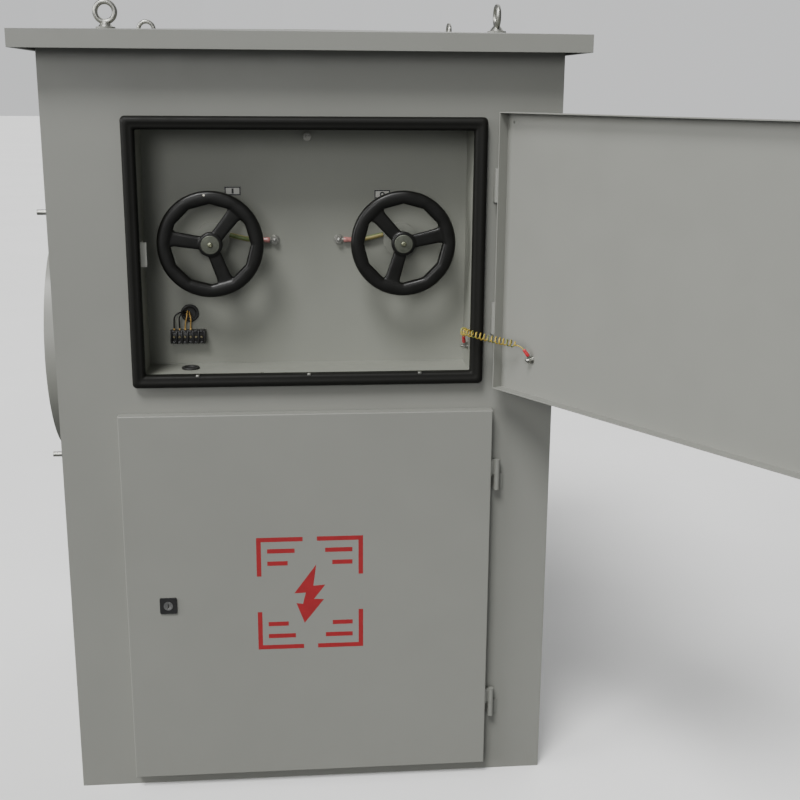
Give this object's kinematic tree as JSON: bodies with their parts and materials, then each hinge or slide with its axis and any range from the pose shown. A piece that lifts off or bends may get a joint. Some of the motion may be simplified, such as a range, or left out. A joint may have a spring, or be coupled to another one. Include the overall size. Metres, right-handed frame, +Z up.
{
  "type": "high-voltage distribution cabinet",
  "caption": "Free-standing steel high-voltage cabinet: recessed handwheels behind an open upper door, locked lower door, pitched roof with lifting eyes, round side port.",
  "frame": {"origin": "centre of the four anchor holes, on the ground under the base frame", "axes": "+X to the right seen from the front, +Y from the door side to the back, +Z up"},
  "size_m": [1.3233, 1.6376, 1.5543],
  "materials": {
    "grey_powder_coat": "satin",
    "base_paint": "satin",
    "zinc_steel": "plated",
    "black_rubber": "matt",
    "black_moulding": "semi-gloss",
    "silver_disc": "satin",
    "label_white": "satin",
    "earth_insulation": "satin",
    "red_sleeve": "satin",
    "black_insulation": "satin",
    "copper": "bright",
    "resin_insulator": "gloss",
    "glass_fibre_rod": "gloss",
    "cast_resin": "satin",
    "core_steel": "oiled",
    "black_cable": "satin",
    "lock_black": "satin",
    "lock_metal": "satin"
  },
  "bodies": {
    "cabinet": {"base_frame": "base_paint", "body_frame": "grey_powder_coat", "front_panel": "grey_powder_coat", "left_side_panel": "grey_powder_coat", "right_side_panel": "grey_powder_coat", "rear_panel": "grey_powder_coat", "rear_cover": "grey_powder_coat", "rear_cover_bolts": "zinc_steel", "roof_cover": "grey_powder_coat", "roof_seal": "black_rubber", "lifting_eyes": "zinc_steel", "recess_box": "grey_powder_coat", "recess_gasket": "black_rubber", "hinge_frame_halves": "grey_powder_coat", "hinge_pins": "zinc_steel", "shaft_bearings": "zinc_steel", "label_plates": "label_white", "recess_fasteners": "zinc_steel", "bonding_leads": "earth_insulation", "lug_sleeves": "red_sleeve", "terminal_block": "black_moulding", "control_wires": "black_insulation", "cable_grommets": "black_rubber", "door_keeper": "grey_powder_coat", "earth_lead": "earth_insulation", "port_neck": "grey_powder_coat", "port_gasket": "black_rubber", "port_cover": "grey_powder_coat", "partition_shelf": "grey_powder_coat", "post_insulators": "resin_insulator", "jaw_contacts": "copper", "bus_links": "copper", "rear_bearing_brackets": "zinc_steel", "transformer_core": "core_steel", "core_clamps": "base_paint", "coils": "cast_resin", "hv_cables": "black_cable", "earth_bar": "copper", "gland_plate": "zinc_steel"},
    "upper_door": {"upper_door_shell": "grey_powder_coat", "upper_hinge_door_halves": "grey_powder_coat", "door_earth_bolt": "zinc_steel"},
    "lower_door": {"lower_door_shell": "grey_powder_coat", "lower_hinge_door_halves": "grey_powder_coat", "lower_door_seal": "black_rubber", "lock_housing": "lock_black"},
    "door_lock": {"lock_cylinder": "lock_metal", "lock_cam": "zinc_steel"},
    "top_swing_bolt": {"top_swing_bolt": "zinc_steel"},
    "bottom_swing_bolt": {"bottom_swing_bolt": "zinc_steel"},
    "left_operator": {"left_handwheel": "black_moulding", "left_hub_disc": "silver_disc", "left_shaft": "zinc_steel", "left_insulated_shaft": "glass_fibre_rod", "left_blades": "copper"},
    "right_operator": {"right_handwheel": "black_moulding", "right_hub_disc": "silver_disc", "right_shaft": "zinc_steel", "right_insulated_shaft": "glass_fibre_rod", "right_blades": "copper"}
  },
  "joints": [
    {"name": "upper_door_hinge", "type": "hinge", "parent": "cabinet", "child": "upper_door", "pos_m": [0.354, -0.488, 1.09775], "axis": [0, 0, 1], "range_deg": [-121.6, 12], "deforming": ["earth_lead"]},
    {"name": "lower_door_hinge", "type": "hinge", "parent": "cabinet", "child": "lower_door", "pos_m": [0.3669, -0.488, 0.4105], "axis": [0, 0, 1], "range_deg": [0, 130]},
    {"name": "door_lock_turn", "type": "hinge", "parent": "lower_door", "child": "door_lock", "pos_m": [-0.2835, -0.485, 0.406], "axis": [0, 1, 0], "range_deg": [0, 90]},
    {"name": "left_operator_turn", "type": "hinge", "parent": "cabinet", "child": "left_operator", "pos_m": [-0.182, -0.374, 1.1108], "axis": [0, 1, 0], "range_deg": [0, 90]},
    {"name": "right_operator_turn", "type": "hinge", "parent": "cabinet", "child": "right_operator", "pos_m": [0.182, -0.374, 1.1108], "axis": [0, 1, 0], "range_deg": [0, 90]},
    {"name": "top_bolt_swing", "type": "hinge", "parent": "cabinet", "child": "top_swing_bolt", "pos_m": [-0.495, 0, 1.128], "axis": [0, 1, 0], "range_deg": [0, 80]},
    {"name": "bottom_bolt_swing", "type": "hinge", "parent": "cabinet", "child": "bottom_swing_bolt", "pos_m": [-0.495, 0, 0.572], "axis": [0, -1, 0], "range_deg": [0, 80]}
  ]
}
